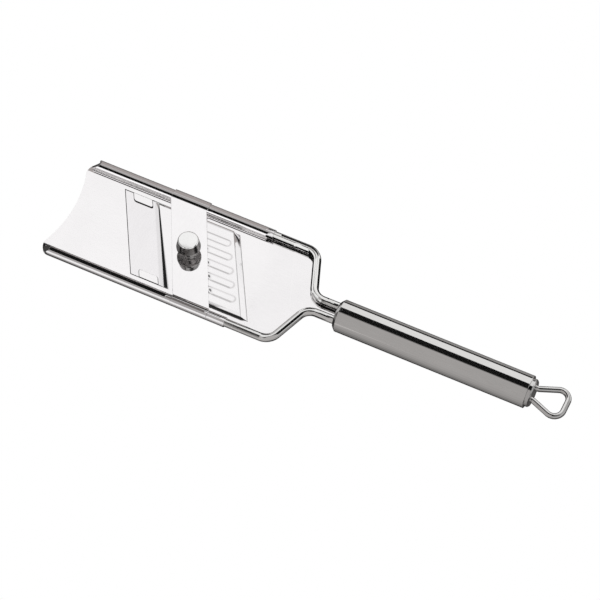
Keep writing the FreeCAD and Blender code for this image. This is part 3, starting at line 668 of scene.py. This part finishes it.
def card(name, yz0, yz1, x0, x1, strength, tint=(1, 1, 1), one_sided=False):
    """Long card close to the tool, between two points of its cross-section; one-sided ones are clear from the back."""
    ob = panel(name, [(x * MM, y * MM, z * MM) for x, (y, z) in ((x0, yz0), (x1, yz0), (x1, yz1), (x0, yz1))], strength, tint)
    if one_sided:
        clear_back(ob)
    return ob


card("near_flag", (-21.7, 19.4), (-35.0, 19.4), -200, -79, 0.006)
card("near_flag_mid", (-27.5, 21.0), (-35.0, 21.0), -79, -54, 0.17, BROWN)
card("near_flag_back", (-28.7, 19.4), (-30.3, 19.4), -54, -44, 0.006)
card("far_flag", (26.0, 26.0), (26.0, 13.2), -200, -44, 0.006, one_sided=True)
card("far_light", (26.0, 13.2), (26.0, 9.5), -200, -44, 1.2, one_sided=True)
card("far_card", (42.5, 14.0), (42.5, 31.0), -200, -46, 0.40, BROWN)
card("far_card_low", (42.5, 8.0), (42.5, 14.0), -200, -46, 0.2, BROWN)
card("far_card_top", (33.7, 18.6), (37.2, 18.6), -200, -46, 0.42, BROWN)
card("far_rod_flag", (33.8, 17.6), (38.3, 13.9), -36, -8, 0.02)
card("far_rod_low", (28.5, 11.5), (28.5, 7.9), -44, -13, 0.006, one_sided=True)
card("rod_reflector", (8, 77), (-30, 43), -60, -22, 1.0)


def stand(name, plan, z0, z1, strength, tint=(1, 1, 1)):
    """Upright one-sided card on a plan line; its front is on the right of the line's direction."""
    (xa, ya), (xb, yb) = plan
    ob = panel(name, [(x * MM, y * MM, z * MM) for x, y, z in ((xa, ya, z0), (xb, yb, z0), (xb, yb, z1), (xa, ya, z1))], strength, tint)
    clear_back(ob)
    return ob


# small cards beside the bent shoulder: light on its inner side, dark low down there and on its outer side
stand("shoulder_card", ((-15, 2), (-26, 31)), 11, 27, 1.05)
stand("shoulder_flag", ((-3, 37), (7, 11)), -2, 17, 0.006)
for k in range(4):
    x, y = -8.4 - 2.4 * k, 10.2 + 6.2 * k
    stand("shoulder_low_%d" % k, ((x + 1.9, y - 3.6), (x - 1.9, y + 3.6)), 7.9, 12.6, 0.006)
stand("neck_low", ((16, 0.6), (-2.0, 0.6)), 7.9, 10.4, 0.006)
panel("near_shoulder_flag", [(x * MM, y * MM, z * MM) for x, y, z in ((-8, -20, 50), (9, -26, 45), (11, -2, 45), (2, 5, 50))], 0.01)

# ground as it shows in the metal: darker close under the tool
GROUND = (
    (-3000, 8, (-3000, -100, 0.7), (-100, -62, 0.6), (-62, -50, 0.42), (-50, -41, 0.28), (-41, 40, 0.06), (40, 80, 0.12), (80, 3000, 0.36)),
    (8, 139, (-3000, -48, 0.5), (-48, -27, 0.45), (-27, -18, 0.36), (-18, -12, 0.24), (-12, 26, 0.06), (26, 46, 0.2), (46, 3000, 0.36)),
    (139, 3000, (-3000, -60, 0.5), (-60, 60, 0.1), (60, 3000, 0.4)))
for j, (x0, x1, *bands) in enumerate(GROUND):
    for k, (y0, y1, level) in enumerate(bands):
        panel("ground_%d_%d" % (j, k), [(x * MM, y * MM, floor_z(x * MM)) for x, y in ((x0, y0), (x1, y0), (x1, y1), (x0, y1))], level, WARM)

# surround: soft ring of light low down, dark overhead
BANDS = ((-12, 8, 0.30), (8, 20, 0.55), (20, 34, 0.70), (34, 44, 0.50), (44, 54, 0.25), (54, 90, 0.06))
for k, (e0, e1, level) in enumerate(BANDS):
    verts, faces, n = [], [], 48
    for e in (e0, e1):
        for j in range(n):
            a = 2 * math.pi * j / n
            verts.append((2.4 * math.cos(math.radians(e)) * math.cos(a), 2.4 * math.cos(math.radians(e)) * math.sin(a), 2.4 * math.sin(math.radians(e))))
    for j in range(n):
        m = (j + 1) % n
        faces.append((j, m, n + m, n + j))
    stage_mesh("surround_%d" % k, verts, faces, glow("surround_%d_light" % k, level), False, True)

world = bpy.data.worlds.new("studio")
scene.world = world
world.use_nodes = True
bg = world.node_tree.nodes["Background"]
bg.inputs["Color"].default_value = (1, 1, 1, 1)
bg.inputs["Strength"].default_value = 1.0
scene.view_settings.view_transform = "Standard"

# ---------------------------------------------------------------- camera
AZ, EL, DIST = math.radians(25.326), math.radians(58.907), 1.78287
target = Vector((-0.0072, -0.000818, 0.01035))
away = Vector((math.sin(AZ) * math.cos(EL), -math.cos(AZ) * math.cos(EL), math.sin(EL)))
cam = bpy.data.cameras.new("camera")
cam.sensor_width = 36.0
cam.lens = 187.064
cam.clip_start, cam.clip_end = 0.05, 50.0
cam_ob = bpy.data.objects.new("camera", cam)
scene.collection.objects.link(cam_ob)
cam_ob.location = target + away * DIST
cam_ob.rotation_euler = (-away).to_track_quat("-Z", "Y").to_euler()
scene.camera = cam_ob
